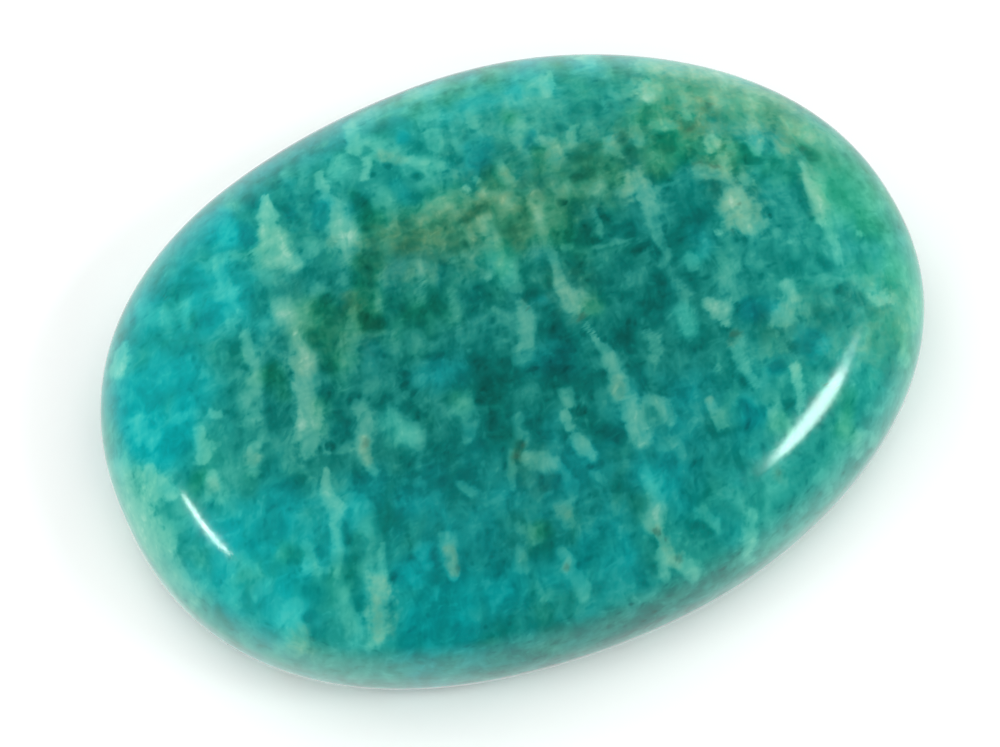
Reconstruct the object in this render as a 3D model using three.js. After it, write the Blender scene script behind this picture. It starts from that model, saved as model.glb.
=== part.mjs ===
// An oval amazonite cabochon: one polished stone with a low dome, a rounded girdle and a flat back.
// Millimetres, +Z up. The origin is the middle of the flat back, and +X runs along the stone's length.

import * as THREE from "three";
import { LoftGeometry } from "three/addons/geometries/LoftGeometry.js";

// Driving dimensions
const LENGTH = 40;
const WIDTH = 30;
const THICKNESS = 8;
const GIRDLE_HEIGHT = 2.5; // the widest line, above the back
const BACK_INSET = 1.6; // from the girdle in to the edge of the flat back

// Fullness is a superellipse's exponent: 2 is an ellipse, and more is squarer.
const OUTLINE_FULLNESS = 2.2;
const DOME_FULLNESS = 2.8; // flatter on top than an ellipse, with a rounder shoulder
const EDGE_FULLNESS = 2.4;

// Slow waves round the outline, where a hand-cut stone strays from a true oval.
// Height is a share of the radius, and turn is where the first crest lies, in degrees from +X.
const OUTLINE_WAVES = [
  { crests: 3, height: 0.0055, turn: -11 },
  { crests: 4, height: 0.005, turn: -6 },
  { crests: 5, height: 0.0055, turn: -2.5 },
];

// Facets
const SEGMENTS = 96;
const DOME_RINGS = 17;
const EDGE_RINGS = 7;
const TOP_RING = 0.04; // the last ring under the apex, as a share of the outline

// The oval seen from above, as points on a full turn, before it is fitted to the length and width.
function handCutOval() {
  const points = [];
  for (let i = 0; i < SEGMENTS; i++) {
    const angle = (i / SEGMENTS) * 2 * Math.PI;
    const lengthShare = Math.abs(Math.cos(angle) / (LENGTH / 2)) ** OUTLINE_FULLNESS;
    const widthShare = Math.abs(Math.sin(angle) / (WIDTH / 2)) ** OUTLINE_FULLNESS;
    let radius = (lengthShare + widthShare) ** (-1 / OUTLINE_FULLNESS);
    for (const { crests, height, turn } of OUTLINE_WAVES) {
      radius *= 1 + height * Math.cos(crests * (angle - THREE.MathUtils.degToRad(turn)));
    }
    points.push(new THREE.Vector2(Math.cos(angle), Math.sin(angle)).multiplyScalar(radius));
  }
  return points;
}

// The girdle's outline: the oval, centred on the origin and stretched to the exact length and width.
function girdleOutline() {
  const points = handCutOval();
  const box = new THREE.Box2().setFromPoints(points);
  const centre = box.getCenter(new THREE.Vector2());
  const fit = new THREE.Vector2(LENGTH, WIDTH).divide(box.getSize(new THREE.Vector2()));
  return points.map((p) => p.clone().sub(centre).multiply(fit));
}

// One level ring of the stone: the outline, drawn in by a width all round, then scaled by a share.
function ring(outline, height, share, inset = 0) {
  return outline.map((p) => {
    const drawnIn = p.clone().setLength(p.length() - inset).multiplyScalar(share);
    return new THREE.Vector3(drawnIn.x, drawnIn.y, height);
  });
}

// From the edge of the flat back out and up to just under the girdle.
function edgeRings(outline) {
  const rings = [];
  for (let i = 0; i < EDGE_RINGS; i++) {
    const angle = (i / EDGE_RINGS) * (Math.PI / 2);
    const outward = Math.sin(angle) ** (2 / EDGE_FULLNESS);
    const downward = Math.cos(angle) ** (2 / EDGE_FULLNESS);
    rings.push(ring(outline, GIRDLE_HEIGHT * (1 - downward), 1, BACK_INSET * (1 - outward)));
  }
  return rings;
}

// From the girdle up over the shoulder to the small ring under the apex.
function domeRings(outline) {
  const rings = [];
  const lastAngle = Math.acos(TOP_RING ** (DOME_FULLNESS / 2));
  for (let i = 0; i <= DOME_RINGS; i++) {
    const angle = (i / DOME_RINGS) * lastAngle;
    const share = Math.cos(angle) ** (2 / DOME_FULLNESS);
    const height = GIRDLE_HEIGHT + (THICKNESS - GIRDLE_HEIGHT) * Math.sin(angle);
    rings.push(ring(outline, height, share));
  }
  return rings;
}

function cabochon() {
  const outline = girdleOutline();
  const sections = [...edgeRings(outline), ...domeRings(outline)];
  const geometry = new LoftGeometry(sections, { capStart: true, capEnd: true });
  const material = new THREE.MeshStandardMaterial({ color: 0x1f9a94, roughness: 0.15, metalness: 0 });
  const stone = new THREE.Mesh(geometry, material);
  stone.name = "cabochon";
  return stone;
}

const part = new THREE.Group();
part.add(cabochon());

export default part;
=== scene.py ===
"""A polished amazonite cabochon lying on a white table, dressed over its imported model.

Blender works in metres, and the stone is drawn in millimetres and scaled at the end. The part's own
frame is kept: the origin is the middle of the flat back, +X runs along the length and +Z is up.
"""
import math

import bpy
import numpy as np
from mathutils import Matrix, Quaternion, Vector, noise


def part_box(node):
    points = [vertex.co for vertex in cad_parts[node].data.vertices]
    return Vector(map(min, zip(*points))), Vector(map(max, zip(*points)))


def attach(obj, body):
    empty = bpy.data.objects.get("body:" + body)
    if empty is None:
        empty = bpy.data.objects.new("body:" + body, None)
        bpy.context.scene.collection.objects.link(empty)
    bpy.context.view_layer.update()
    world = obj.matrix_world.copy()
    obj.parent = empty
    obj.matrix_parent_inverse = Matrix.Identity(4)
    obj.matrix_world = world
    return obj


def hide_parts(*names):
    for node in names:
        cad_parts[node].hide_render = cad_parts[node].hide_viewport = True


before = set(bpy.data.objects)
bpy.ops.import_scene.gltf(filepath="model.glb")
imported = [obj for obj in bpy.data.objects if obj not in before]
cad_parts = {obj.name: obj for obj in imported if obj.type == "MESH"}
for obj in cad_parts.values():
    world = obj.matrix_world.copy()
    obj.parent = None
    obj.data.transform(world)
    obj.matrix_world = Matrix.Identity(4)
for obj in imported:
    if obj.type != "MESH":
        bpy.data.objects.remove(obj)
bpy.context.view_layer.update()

MM = 0.001

# The stone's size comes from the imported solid, and its curves are the solid's own, made finer.
LOW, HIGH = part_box("cabochon")
LENGTH = (HIGH.x - LOW.x) / MM
WIDTH = (HIGH.y - LOW.y) / MM
THICKNESS = (HIGH.z - LOW.z) / MM
GIRDLE_HEIGHT = 2.5  # the widest line, above the back
BACK_INSET = 1.6  # from the girdle in to the edge of the flat back
OUTLINE_FULLNESS = 2.2  # 2 is an ellipse, and more is squarer
DOME_FULLNESS = 2.8
EDGE_FULLNESS = 2.4
OUTLINE_WAVES = (  # crests round the outline, height as a share of the radius, first crest in degrees
    (3, 0.0055, -11),
    (4, 0.005, -6),
    (5, 0.0055, -2.5),
)
CELLS = 220  # of the square net that is rounded into the dome, and again into the back, along a side
DOME_STEPS = 2000  # of the curves that the nets are bent to
EDGE_STEPS = 600
POLISH_WAVER = 0.02  # mm that the polished face wavers
POLISH_WAVE = 5.0  # mm from one swell to the next

# The crystals' pattern. Its lamellae lean sideways by a share of their length, more at the left end.
LEAN = {"From Min": -12, "From Max": 3, "To Min": -0.3, "To Max": -0.22}
CRUMPLE = 0.7  # mm that the pattern is pushed about
CRUMPLES_PER_MM = 0.7
EDGE_TOP = 4.7  # mm above the back, where the dome turns down into the edge
EDGE_FINENESS = 0.8  # how much finer the pattern is down the edge, so that it isn't upright stripes
PAINTED_SHEEN_FULL = 2.6  # mm above the back, down to which the painted sheen over the edge thickens

# Tints from the darkest to the milkiest part of the stone, at the same tones in each hue.
TONES = (0.0, 0.15, 0.3, 0.45, 0.6, 0.72, 0.84, 0.93, 1.0)
TEAL = ("003f3a", "00524c", "01645d", "18786f", "2f887c", "429284", "539b8a", "6aa594", "7eb19f")
TURQUOISE = ("00494d", "005f62", "007071", "008182", "188f8d", "2f9892", "46a097", "60a99e", "74b3a7")
SEA_GREEN = ("003e2e", "00523f", "04644d", "18775d", "2e866d", "429278", "589c84", "70a690", "84b19a")
OLIVE = ("16462f", "22573b", "346648", "4b7856", "668963", "7e9971", "91a883", "a1b394", "a9ba9c")
SPECK = "2a584a"
# the pale tint of the sheen painted over the edge, a painted reflection of the room
PAINTED_EDGE_SHEEN = "96b9ad"

# The camera stands where the photograph's did: a long lens, high over the stone's front left.
CAMERA_ELEVATION = 65.0
CAMERA_TURN = 24.1  # degrees that the stone's length is turned against the picture's width
CAMERA_DISTANCE = 239.3 * MM
CAMERA_AIM = (-0.71 * MM, 0.34 * MM)  # right and up from the origin to the picture's middle
LENS = 180.0
MIRRORED_TINT = (0.8, 1.0, 0.95)  # of the lamps that the dome mirrors
TABLE_RADIUS = 0.75
TABLE_SIDES = 96

# The markings, placed on the stone's plan. Each is a path of points: the place in millimetres
# from the middle of the stone, and half the marking's width there. The first number is its strength.
MILK_AND_PAINTED_LIGHT = (  # broad milky zones round the dark middle, partly the stone's own milkiness and partly painted light: the rim painted brighter, as light comes through the edge
    (0.75, (-15, 10.5, 4.6), (-18.5, 4, 3.6)), (0.65, (-19.5, 1, 3.6), (-16.5, -8.5, 3.8)),
    (0.3, (-11.4, 7.2, 1.3)), (0.45, (-12, 10.5, 4), (-3, 11.5, 3.2)),
    (0.2, (-6, 15, 2.2), (3, 15, 2.6), (9, 13, 3), (14, 10, 3.4)), (0.6, (0, 10.8, 2.6), (8, 10.4, 3)),
    (0.5, (12, 12, 4), (18, 5, 3)), (0.7, (19.5, 0, 3), (18, -7, 3.6)),
    (0.5, (16, -9, 3.5), (10, -12.5, 3)), (0.4, (-13, -10, 3.4), (-10, -12.5, 2.2)),
    (0.3, (12.5, 6, 2.6), (12.5, -2, 2.4)), (0.4, (17.2, -1, 1.2), (16.8, -3.5, 1.2)),
    # the first mark below is a painted glow along the left lamp's highlight
    (0.5, (-17.4, -1.5, 1), (-17, -5, 1.2)), (0.3, (9, -7, 1.4), (14, -8, 1.6)),
    (0.5, (16.8, -6, 1.4), (15.4, -8.2, 1.4)),
    (0.35, (3.6, -12.6, 1.2), (6, -12.6, 1.2), (10, -11.8, 1.2)),
    (0.25, (-5, -13.2, 1.1), (2, -13.5, 1.1), (8, -13.1, 1.2)),
    (0.3, (-8, 12.5, 1.6), (-1.5, 13.6, 1.7), (6, 13, 1.7), (12, 11.2, 1.6)),
    # small glows
    (0.7, (-10.3, 11.2, 0.5), (-10.4, 10, 0.5)), (0.5, (-15.3, 8.2, 0.6)), (0.5, (-13.6, 6.8, 0.5)),
    (0.6, (-4, 11.2, 0.5), (-4.4, 10.4, 0.5)), (0.45, (-7.4, -2.7, 0.45), (-7.1, -3.7, 0.55)),
    (0.2, (-4.2, -3.6, 0.45)), (0.4, (0.6, 2.9, 0.6), (0.6, 1.9, 0.5)),
    (0.6, (7.3, -3.2, 0.35), (7.2, -4, 0.45)), (0.5, (8.9, -0.8, 0.4)),
    (0.3, (-10.3, -5.6, 0.5), (-10.3, -6.7, 0.5)), (0.35, (-14.7, -7.8, 0.5), (-15.1, -9.2, 0.5)),
    (0.5, (2.6, -10.2, 0.5)),
)
PALE_AND_HIGHLIGHT = (  # milky streaks and spots, where more albite shows, and two painted traces of the right lamp's highlight
    # broad and faint
    (0.3, (2.6, 11.4, 1.4), (5.6, 10.6, 1.4)), (0.3, (12.4, 8.6, 1.6), (15.2, 6.6, 1.6)),
    (0.2, (-4.5, 5.4, 1.6), (1.5, 4.8, 2), (6, 5.4, 1.8)),
    (0.2, (-8.7, 8, 1), (-9.3, 3.5, 1), (-9.8, 0, 0.9)), (0.2, (17.2, 3, 1.2), (17.4, 0, 1.2)),
    (0.35, (18.1, 3.8, 1.1), (15.3, 8.9, 1.1), (12.6, 10.8, 1.1)), (0.2, (-12.8, 1.8, 1.1)),
    (0.2, (9, 10.2, 1.2)),
    # the far rim and the head
    (0.5, (-2, 13.6, 0.4), (0.2, 13.3, 0.6), (2.4, 13.5, 0.5), (3.7, 13.1, 0.5)),
    (0.5, (1, 14.1, 0.4), (1.5, 13.5, 0.4)), (0.3, (5.4, 12.8, 0.5), (6.1, 12.4, 0.6)),
    (0.85, (9.2, 13.2, 0.6), (9.5, 12.2, 0.5)),
    (0.8, (7.2, 11.8, 0.2), (6.9, 11.1, 0.3), (6.6, 10.4, 0.2)),
    (0.35, (8.5, 11.3, 0.3), (9.9, 11.4, 0.3), (9.8, 10.6, 0.3)),
    (0.55, (11.9, 10.8, 0.5), (11.7, 10.2, 0.5)), (0.55, (13.1, 9.7, 0.5), (13.9, 9.4, 0.5)),
    (0.85, (15.3, 9.6, 0.6), (15.8, 8.9, 0.7)),
    (1, (11.3, 9.4, 0.3), (11.1, 8.9, 0.5), (10.9, 8.4, 0.3)), (0.45, (10.5, 9.5, 0.3), (10.2, 9, 0.3)),
    (0.4, (12.7, 8.5, 0.3), (12.5, 7.7, 0.3)), (0.4, (14.6, 8.3, 0.8), (15.4, 7.4, 0.8)),
    (0.5, (14, 7.4, 0.3), (14.1, 6.8, 0.35)), (0.85, (15.2, 6.4, 0.5)),
    (0.6, (12, 6.9, 0.2), (11.9, 6.5, 0.2)),
    (0.3, (17.8, 4.8, 0.5), (17.4, 4.2, 0.5), (16.7, 4.4, 0.5)),
    # the left end
    (0.4, (-14.4, 10.8, 0.5), (-13.8, 10.6, 0.4)), (0.2, (-9.2, 13, 0.25), (-9.6, 11.7, 0.3)),
    (0.3, (-10.3, 11.4, 0.45), (-10.4, 10.3, 0.5), (-10.7, 9.7, 0.35)),
    (0.3, (-15.2, 8.9, 0.3), (-15, 8, 0.5), (-14.6, 7, 0.4)),
    (1, (-16.9, 7.3, 0.4), (-17.2, 6.7, 0.45), (-17.5, 6.2, 0.3)),
    (0.4, (-13.5, 7.3, 0.2), (-13.8, 6.2, 0.3)),
    (0.5, (-11.3, 8.3, 0.3), (-11.6, 6.6, 0.5), (-11.8, 5.2, 0.35)),
    (0.3, (-12, 9, 0.3), (-11.3, 8.6, 0.3)), (0.45, (-10.7, 8.7, 0.35), (-10.2, 8.3, 0.35)),
    (0.75, (-19.5, 2, 0.6), (-19.5, -3, 0.6), (-18.6, -5.4, 0.4)),
    (0.65, (-19, -1.3, 0.35), (-18.9, -2.9, 0.4)),
    (1, (-18.2, 0.5, 0.35), (-18.1, -0.3, 0.6), (-17.8, -0.8, 0.4)), (0.35, (-18.2, -2.5, 0.4)),
    (0.55, (-17.7, 3, 0.5), (-17.6, 2, 0.5)), (0.45, (-17.7, 4.7, 0.4)),
    (0.85, (-15.4, 0.9, 0.3), (-15.6, 0.2, 0.4), (-15.9, -0.4, 0.25)),
    (0.3, (-15.9, 2, 0.25), (-15.2, 1.8, 0.25)), (0.85, (-14.5, 1.5, 0.2), (-14.2, 1.3, 0.2)),
    (0.35, (-14.4, 4.7, 0.25)), (0.5, (-14.2, 3.5, 0.25)), (0.65, (-15.7, -1.4, 0.3), (-16, -2.3, 0.4)),
    (0.8, (-13.5, -1.1, 0.3), (-13.9, -2, 0.35)),
    (0.6, (-12.1, 2.3, 0.25), (-12.6, 1.2, 0.45), (-12.8, 0.4, 0.3)), (0.35, (-13.3, 0.3, 0.35)),
    (0.2, (-13, -0.7, 0.2)), (0.7, (-11.6, 4.2, 0.3), (-12, 3.2, 0.35)), (0.25, (-13, 3.8, 0.25)),
    (0.35, (-17.2, -6.2, 0.4), (-16.9, -6.9, 0.3)), (0.35, (-16, -5.4, 0.3), (-15.8, -6.2, 0.3)),
    (0.3, (-13.4, -5.2, 0.25), (-12.7, -5.3, 0.25)), (0.3, (-12.8, -2.6, 0.2), (-12.1, -2.9, 0.2)),
    # the streaks of the left half
    (1, (-7.8, 11, 0.12), (-8.3, 9.8, 0.38), (-8.6, 8.6, 0.52), (-8.7, 7.6, 0.55), (-8.3, 6.8, 0.35)),
    (0.75, (-9.6, 8.3, 0.25), (-9.2, 7.8, 0.3)),
    (0.4, (-7.8, 6.9, 0.3), (-6.8, 7.1, 0.25), (-5.9, 7.1, 0.25)), (0.3, (-6.6, 9.4, 0.4)),
    (0.35, (-6.6, 12, 0.25), (-6.2, 11, 0.3), (-6.4, 10.5, 0.2)),
    (0.3, (-5.2, 12.6, 0.3), (-5.5, 11.9, 0.3)),
    (0.8, (-5.1, 11, 0.2), (-5.4, 9.6, 0.22), (-5.1, 8.6, 0.32), (-5.3, 7.6, 0.5), (-5.5, 6.7, 0.4)),
    (0.5, (-5.5, 6.7, 0.4), (-5.9, 5.6, 0.2)), (0.3, (-4, 11.4, 0.5), (-4.4, 10.3, 0.5)),
    (0.75, (-2.5, 13.3, 0.3), (-2.8, 12.2, 0.3), (-3, 11.3, 0.28)),
    (0.45, (-2.1, 11.7, 0.3), (-1.9, 11.1, 0.3)),
    (0.45, (-2.3, 10.6, 0.35), (-1.8, 10.3, 0.42), (-1.4, 9.7, 0.3)),
    (0.85, (-2.8, 10.6, 0.25), (-3.2, 10, 0.25), (-3.4, 9.5, 0.15)),
    (0.5, (-0.9, 9.5, 0.25), (-0.3, 9, 0.42), (0.2, 8.5, 0.3)),
    (0.5, (0.6, 10.6, 0.3), (0.4, 9.7, 0.3)),
    (0.35, (-3, 8.4, 0.4), (-3.1, 7.5, 0.45), (-3.3, 6.9, 0.3)),
    (0.35, (-1.4, 6.7, 0.6), (0.4, 6.2, 0.5)), (1, (0.7, 6.9, 0.12), (0.8, 6.7, 0.12)),
    (0.8, (1.3, 7.1, 0.17)), (1, (-9.7, 4.9, 0.35), (-9.3, 4.4, 0.5), (-9.3, 3.7, 0.4)),
    (0.2, (-10.9, 4.6, 0.2), (-10.3, 4.3, 0.25)),
    (1, (-9.5, 2.9, 0.28), (-9.8, 1.9, 0.58), (-10.1, 0.9, 0.52), (-10.4, 0.1, 0.38), (-10.6, -0.7, 0.48)),
    (0.85, (-10.6, -0.7, 0.5), (-10.9, -1.6, 0.68), (-11.3, -2.3, 0.5)), (0.5, (-9.5, 0.6, 0.2)),
    (0.3, (-6.6, 4.9, 0.3)), (0.3, (-7.6, 5.1, 0.3)),
    (0.35, (-4.9, 4.2, 0.18), (-5.1, 3.4, 0.24), (-5.4, 2.6, 0.18)),
    (0.5, (-6.8, 3, 0.25), (-7.2, 1.9, 0.3), (-7.8, 0.8, 0.3)), (0.3, (-7.8, 1.3, 0.5), (-8, 0.6, 0.4)),
    (0.3, (-6.9, 1.9, 0.12), (-6.2, 1.5, 0.16), (-5.4, 1.2, 0.12)),
    (0.55, (-2.9, 4.2, 0.18), (-3.3, 3, 0.2), (-3.7, 2.2, 0.18)),
    (0.35, (-2.2, 2, 0.18), (-2.5, 0.8, 0.25), (-2.7, -0.4, 0.2)),
    (0.3, (-1, 1.5, 0.14), (-1.3, 0.6, 0.16), (-1.6, -0.3, 0.2)), (0.35, (-0.7, 0.4, 0.22)),
    (0.6, (-0.4, 2.1, 0.14), (-0.2, 2.05, 0.12)), (0.7, (-1.4, 3.5, 0.2)), (0.4, (-0.8, 3.7, 0.12)),
    (0.45, (-0.2, 4.4, 0.2)), (0.3, (-4.5, 0.2, 0.22), (-3.9, 0, 0.2)),
    (0.75, (-8.4, -1.5, 0.3), (-8.5, -2.4, 0.32), (-8.8, -3, 0.32), (-9.1, -4, 0.25), (-9.1, -4.7, 0.2)),
    (0.35, (-10.5, -2.9, 0.14), (-9.6, -3.1, 0.14)),
    (0.3, (-7.4, -2.6, 0.5), (-7.2, -3.4, 0.6), (-7, -3.9, 0.4)),
    (0.45, (-6.3, -3.9, 0.2), (-6.6, -4.4, 0.26)), (0.3, (-8.2, -4.7, 0.35)), (0.6, (-6.2, -1.9, 0.16)),
    (0.2, (-3.9, -2.9, 0.35)), (0.5, (-4, -3.4, 0.38), (-4.2, -4.3, 0.38), (-4.4, -5, 0.25)),
    (0.3, (-3.3, -4, 0.2), (-2.6, -4.2, 0.2)), (0.3, (-1.7, -3.3, 0.16)), (0.45, (-2.6, -1.1, 0.14)),
    # the long streaks of the middle
    (1, (0.8, 4.7, 0.35), (0.6, 3.9, 0.35)), (0.3, (0.3, 3.1, 0.4), (0.6, 2.3, 0.45)),
    (0.4, (0.5, 1.6, 0.4), (0.8, 0.9, 0.28)),
    (0.65, (0.6, 0.1, 0.3), (0.5, -0.6, 0.35), (0.3, -1.2, 0.4), (0, -1.7, 0.35)),
    (0.4, (-0.6, -1.8, 0.28), (-1, -2.5, 0.18)), (0.35, (-0.3, -2.6, 0.5)),
    (0.5, (3.4, 4.7, 0.3), (3.1, 3.6, 0.22), (2.9, 2.6, 0.25), (2.8, 1.6, 0.2), (2.7, 0.6, 0.25)),
    (0.85, (2.6, 0.2, 0.3), (2.8, -0.4, 0.5), (2.75, -1, 0.4)),
    (0.25, (3.4, -0.7, 0.3), (3.5, -1.3, 0.35)), (0.6, (2.9, -2.1, 0.2), (3, -2.8, 0.15)),
    (0.75, (2.9, -2.8, 0.2), (3.1, -3.6, 0.28), (3.1, -4.6, 0.36)),
    (0.8, (3.1, -5.2, 0.42), (2.8, -5.9, 0.45), (2.9, -6.6, 0.5), (2.9, -7.3, 0.4), (2.9, -8.1, 0.4)),
    (0.65, (3.6, 2, 0.3)), (0.35, (3.7, -6.6, 0.22), (3.6, -7.3, 0.22)),
    (0.45, (5.8, 3.3, 0.16), (5.6, 2.6, 0.2), (5.3, 1.9, 0.12)),
    (0.6, (5.3, 5.2, 0.2), (5.2, 4.6, 0.3)), (0.8, (6.4, 4.5, 0.28), (6.3, 4.1, 0.28)),
    (0.4, (4.8, 1.4, 0.1), (6, 1.3, 0.12), (6.9, 1.1, 0.1)), (0.35, (4.6, 0.4, 0.16)),
    (0.3, (5.9, -0.8, 0.35)), (0.35, (4.5, 9.3, 0.3), (4.1, 8.5, 0.35), (4, 8.1, 0.2)),
    (0.65, (5.3, 7.9, 0.3), (5.3, 7, 0.4), (5, 6.3, 0.35)),
    (0.6, (2.8, 7.4, 0.2), (2.8, 6.9, 0.3), (2.7, 6.4, 0.25)),
    (0.5, (1.5, 6.1, 0.25), (1.9, 5.6, 0.38), (2.1, 5.1, 0.3)), (0.3, (3.3, 5.1, 0.3)),
    (0.75, (2.7, 10.8, 0.3), (2.5, 10.2, 0.3)), (0.3, (3, 9.6, 0.3)),
    (0.35, (1, 11.6, 0.3), (1.6, 11.3, 0.25)), (0.65, (6.7, 7.9, 0.22), (6.4, 7.4, 0.35)),
    (0.3, (7.3, 7.8, 0.22), (7.1, 7.3, 0.2)),
    (0.6, (8.1, 6.8, 0.2), (7.9, 6.1, 0.26), (8.2, 5.6, 0.15)), (0.4, (8.8, 9, 0.15), (8.6, 8.3, 0.15)),
    (0.5, (9.5, 6.9, 0.2), (9.4, 6.5, 0.26), (9.2, 5.9, 0.3)),
    (0.5, (10.4, 6.6, 0.4), (10.9, 6.4, 0.4)),
    # the streaks of the right half
    (0.8, (8.1, 4, 0.5), (8.3, 3.3, 0.55)), (0.5, (7.3, 3.7, 0.3), (7.9, 3.7, 0.3)),
    (0.6, (8.2, 2.6, 0.35), (7.9, 1.5, 0.26), (7.9, 0.8, 0.26), (7.7, 0, 0.3), (7.4, -0.5, 0.25)),
    (0.35, (8.8, 3.2, 0.2), (9.4, 3.1, 0.16), (10, 3.2, 0.12)),
    (0.6, (8.8, -0.7, 0.3), (8.7, -1.3, 0.25)), (1, (10.5, 0, 0.2)),
    (0.45, (7.5, -1.8, 0.22), (7.5, -2.4, 0.3), (7.4, -3, 0.3), (7.2, -3.9, 0.4)),
    (0.4, (10.4, -1.9, 0.35), (9.9, -2.3, 0.5), (10.3, -2.9, 0.3), (10, -3.5, 0.25)),
    (0.95, (8.6, -3.3, 0.3), (8.9, -3.7, 0.45), (8.9, -4.3, 0.3)),
    (0.6, (9, -5.5, 0.3), (8.8, -6.2, 0.3), (8.8, -7, 0.28), (9, -7.5, 0.25)),
    (0.6, (5.3, -3.6, 0.2), (5.5, -4.1, 0.26), (5.2, -4.7, 0.3)), (0.35, (6.5, -3.2, 0.16)),
    (0.95, (12.4, 4.8, 0.35), (12.2, 4.3, 0.3)),
    (0.6, (11.3, 3.3, 0.35), (11.9, 3, 0.45), (12.2, 2.6, 0.3)),
    (0.55, (12.6, 3.7, 0.25), (12.5, 3.1, 0.25)),
    (0.8, (12.1, 1.2, 0.7), (12.1, 0.5, 0.95), (12.3, -0.1, 0.65)), (0.35, (13.1, -1, 0.26)),
    (0.35, (13.2, 4.5, 0.16), (13.1, 4.1, 0.16)),
    (0.6, (14.7, 4.9, 0.3), (14.5, 4.2, 0.4), (14.3, 3.5, 0.26)), (0.55, (13, 2.1, 0.35)),
    (0.8, (16, 2.3, 0.15), (15.9, 1.2, 0.25), (15.7, 0.1, 0.26), (15.6, -1, 0.25)),
    (0.55, (15.6, -1, 0.24), (15.6, -2.1, 0.2), (15.4, -3.3, 0.2)),
    (0.35, (16.4, 1.2, 0.3), (16.2, 0, 0.35), (16, -1.6, 0.35)),
    (0.35, (19.4, 0.5, 0.7), (19.3, -3, 0.9), (18.5, -6.2, 0.8)),
    (0.25, (16.1, 4.4, 0.35), (15.8, 3.8, 0.32), (15.5, 3.2, 0.35)),
    (0.3, (18.4, -2.5, 0.4), (18.2, -4, 0.6), (17.3, -6.5, 0.5), (17, -7.3, 0.4)),
    (0.85, (17, -2, 0.22)), (0.25, (15.6, -4.4, 0.4), (16.3, -4.6, 0.6)),
    (0.35, (13.6, -3.6, 0.25), (14.2, -3.9, 0.25), (15, -4, 0.2)),
    (0.75, (12.5, -3.6, 0.26), (12.3, -4.3, 0.36), (11.6, -5, 0.4), (11.2, -5.3, 0.3)),
    (0.25, (11.4, -2.3, 0.2), (11.8, -2.2, 0.2)), (0.35, (14, -4.8, 0.3)),
    (1, (16.3, -5.3, 0.4), (16.7, -5.3, 0.4)), (0.4, (18.7, -5.5, 0.4), (18.4, -6.3, 0.4)),
    # the first mark below is painted light, the faint top of the right lamp's highlight
    (0.25, (15.4, -6.5, 0.3), (14.6, -7.3, 0.4), (13.8, -7.9, 0.4)), (0.55, (16.6, -8.1, 0.35)),
    (0.45, (12.1, -8.3, 0.3), (12.5, -8.6, 0.25)), (0.4, (12.6, -9.8, 0.3), (12.4, -10.5, 0.4)),
    (0.55, (13.4, -10.9, 0.3), (12.9, -11, 0.35), (12.4, -11.3, 0.3)),
    (0.3, (11.6, -11.4, 0.4), (10.4, -12.2, 0.5)),
    (0.85, (11, -7.5, 0.22), (10.8, -8.4, 0.28), (10.5, -9.1, 0.3)),
    # the last mark below is partly a pale streak and partly the painted end of the right lamp's highlight
    (0.7, (9.3, -9.1, 0.4), (9.3, -9.8, 0.4)), (0.2, (8.9, -10.5, 0.3), (8.3, -11.1, 0.35)),
    # the near side, from the left
    (0.75, (-11, -3.5, 0.12), (-11.3, -4.6, 0.28), (-11.3, -5.4, 0.42), (-11.7, -6.3, 0.26)),
    (0.5, (-11.8, -6.5, 0.26), (-12.1, -7.3, 0.36), (-12.5, -8.3, 0.16)),
    (0.35, (-12.6, -9, 0.25), (-12.7, -10.3, 0.45)), (0.65, (-13.2, -6.4, 0.26), (-13.4, -7.1, 0.42)),
    (0.45, (-14.1, -7.4, 0.22), (-13.4, -7.4, 0.3), (-12.6, -7.9, 0.2)),
    (0.45, (-14.8, -8.3, 0.35), (-15.1, -9.2, 0.45), (-15, -9.8, 0.4)),
    (0.6, (-10, -7.9, 0.14), (-10.4, -8.8, 0.26), (-10.9, -9.6, 0.4)),
    (0.75, (-10.9, -9.6, 0.55), (-11.3, -10.4, 0.55), (-11.9, -11.3, 0.35)), (0.3, (-11.2, -8.4, 0.3)),
    (0.4, (-10.3, -5.5, 0.4), (-10.2, -6.3, 0.5), (-10.5, -6.9, 0.4)),
    (0.35, (-9.4, -9.4, 0.3), (-9.2, -10.1, 0.25)), (0.35, (-8.5, -8.8, 0.25), (-8.4, -9.6, 0.22)),
    (0.35, (-8.5, -6.5, 0.26)), (0.6, (-8.5, -10.8, 0.3)), (0.35, (-7.9, -5.7, 0.2), (-7.4, -6, 0.22)),
    (0.2, (-7.1, -5.3, 0.22)), (0.25, (-5.3, -5.3, 0.26), (-5.4, -5.9, 0.26)),
    (0.7, (-5.5, -7, 0.3), (-5.3, -7.4, 0.26)),
    (0.5, (-3, -6.4, 0.16), (-3.3, -7.2, 0.25), (-3.6, -7.9, 0.16)),
    (0.65, (-2.4, -7, 0.35), (-1.9, -7.3, 0.48), (-1.3, -7.6, 0.32)),
    (0.4, (-2, -5.1, 0.3), (-2.2, -5.9, 0.3)),
    (0.45, (-1, -8, 0.2), (-0.9, -8.8, 0.3), (-1.1, -9.4, 0.24)),
    (0.85, (0.1, -5.8, 0.2), (0.1, -6.4, 0.3)), (0.9, (0.1, -7.1, 0.42), (0.4, -7.7, 0.4)),
    (0.7, (0.6, -4.8, 0.35), (0.6, -5.4, 0.25)), (0.3, (0, -8.7, 0.2), (0.5, -9.2, 0.16)),
    (0.55, (-1.7, -9.8, 0.35), (-1.8, -10.4, 0.26)),
    (0.6, (-7.3, -8.8, 0.3), (-7.3, -9.4, 0.3), (-7.4, -10, 0.3), (-7.6, -10.4, 0.2)),
    (0.4, (-3.7, -9.9, 0.26), (-3.5, -10.5, 0.3)), (0.45, (-4.3, -10.7, 0.26), (-4.6, -11.2, 0.35)),
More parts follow.
